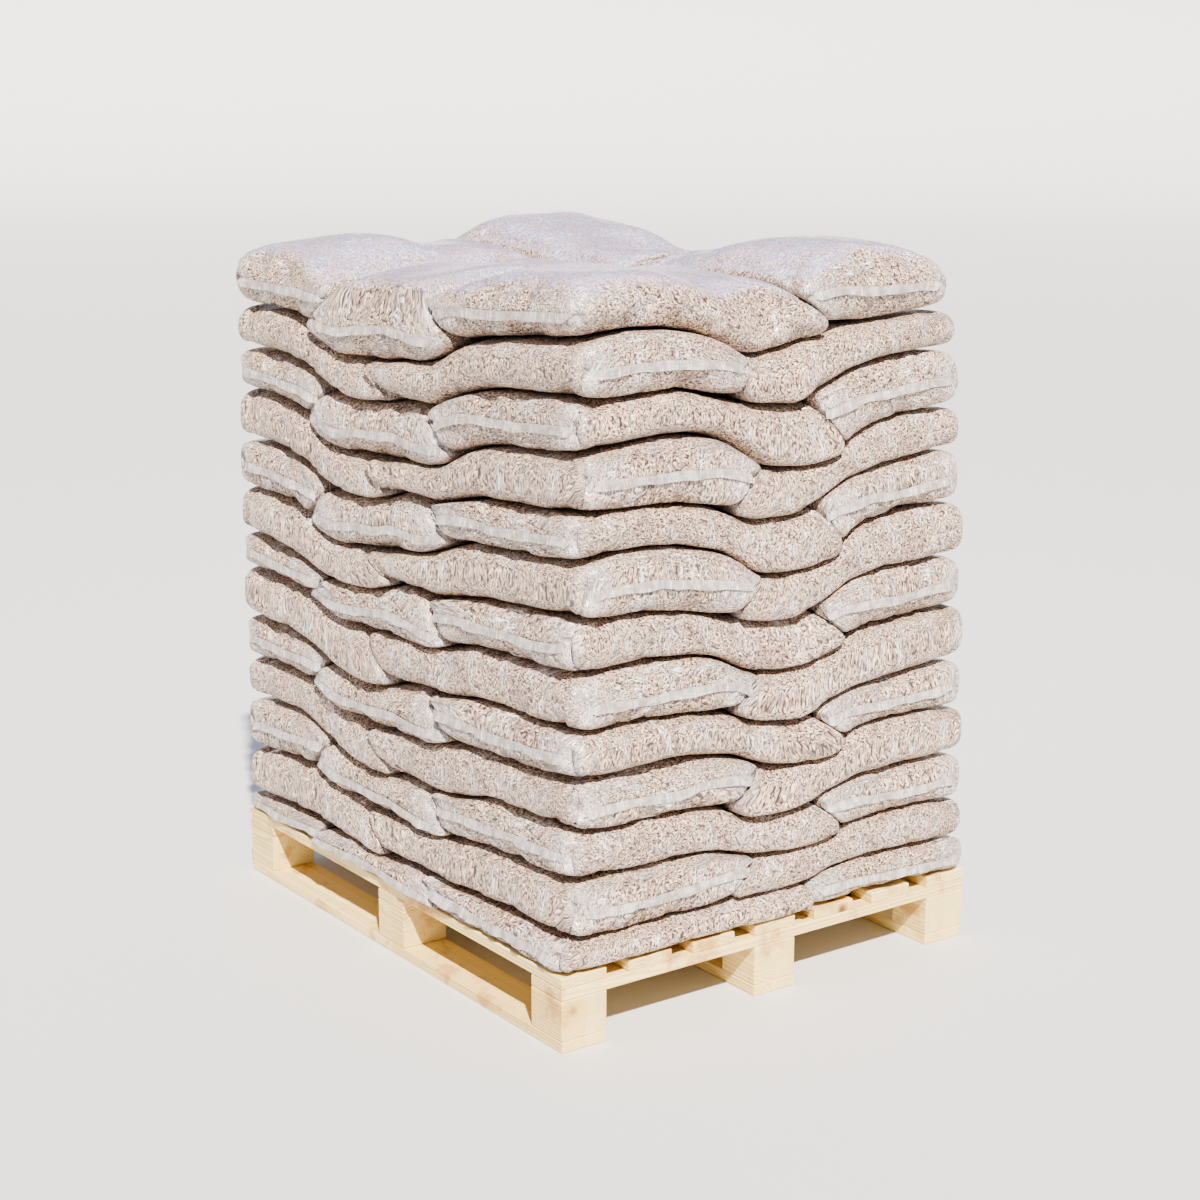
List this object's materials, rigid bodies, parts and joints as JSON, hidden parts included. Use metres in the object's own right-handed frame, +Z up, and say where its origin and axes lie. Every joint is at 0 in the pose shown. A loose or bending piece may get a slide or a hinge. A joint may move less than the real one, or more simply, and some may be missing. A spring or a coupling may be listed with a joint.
{
  "type": "pallet of sacks",
  "caption": "Loaded pallet: clear film sacks of wood pellets in bonded layers, settled into each other, standing on a nailed softwood block pallet.",
  "frame": {"origin": "on the floor under the middle of the pallet", "axes": "+X along the pallet's 1200 mm side, +Y along its 1000 mm side, +Z up"},
  "size_m": [1.2, 1, 1.4275],
  "materials": {
    "pellet_film": "clear glossy film over speckled cream, beige and grey-brown wood pellets, with white crinkles at the corners",
    "seam_film": "pale satin heat-sealed film seam, slightly wavy",
    "sawn_pine": "rough sawn softwood, cream yellow with orange grain and knots, some bark edges",
    "nail_steel": "dull flat steel nail heads"
  },
  "bodies": {
    "root": {"bottom_board_1": "sawn_pine", "bottom_board_2": "sawn_pine", "bottom_board_3": "sawn_pine", "block_1_1": "sawn_pine", "block_1_2": "sawn_pine", "block_1_3": "sawn_pine", "block_2_1": "sawn_pine", "block_2_2": "sawn_pine", "block_2_3": "sawn_pine", "block_3_1": "sawn_pine", "block_3_2": "sawn_pine", "block_3_3": "sawn_pine", "stringer_board_1": "sawn_pine", "stringer_board_2": "sawn_pine", "stringer_board_3": "sawn_pine", "deck_board_1": "sawn_pine", "deck_board_2": "sawn_pine", "deck_board_3": "sawn_pine", "deck_board_4": "sawn_pine", "deck_board_5": "sawn_pine", "deck_board_6": "sawn_pine", "deck_board_7": "sawn_pine", "sack_layer_01": "pellet_film", "sack_layer_02": "pellet_film", "sack_layer_03": "pellet_film", "sack_layer_04": "pellet_film", "sack_layer_05": "pellet_film", "sack_layer_06": "pellet_film", "sack_layer_07": "pellet_film", "sack_layer_08": "pellet_film", "sack_layer_09": "pellet_film", "sack_layer_10": "pellet_film", "sack_layer_11": "pellet_film", "sack_layer_12": "pellet_film", "sack_layer_13": "pellet_film"}
  },
  "joints": []
}
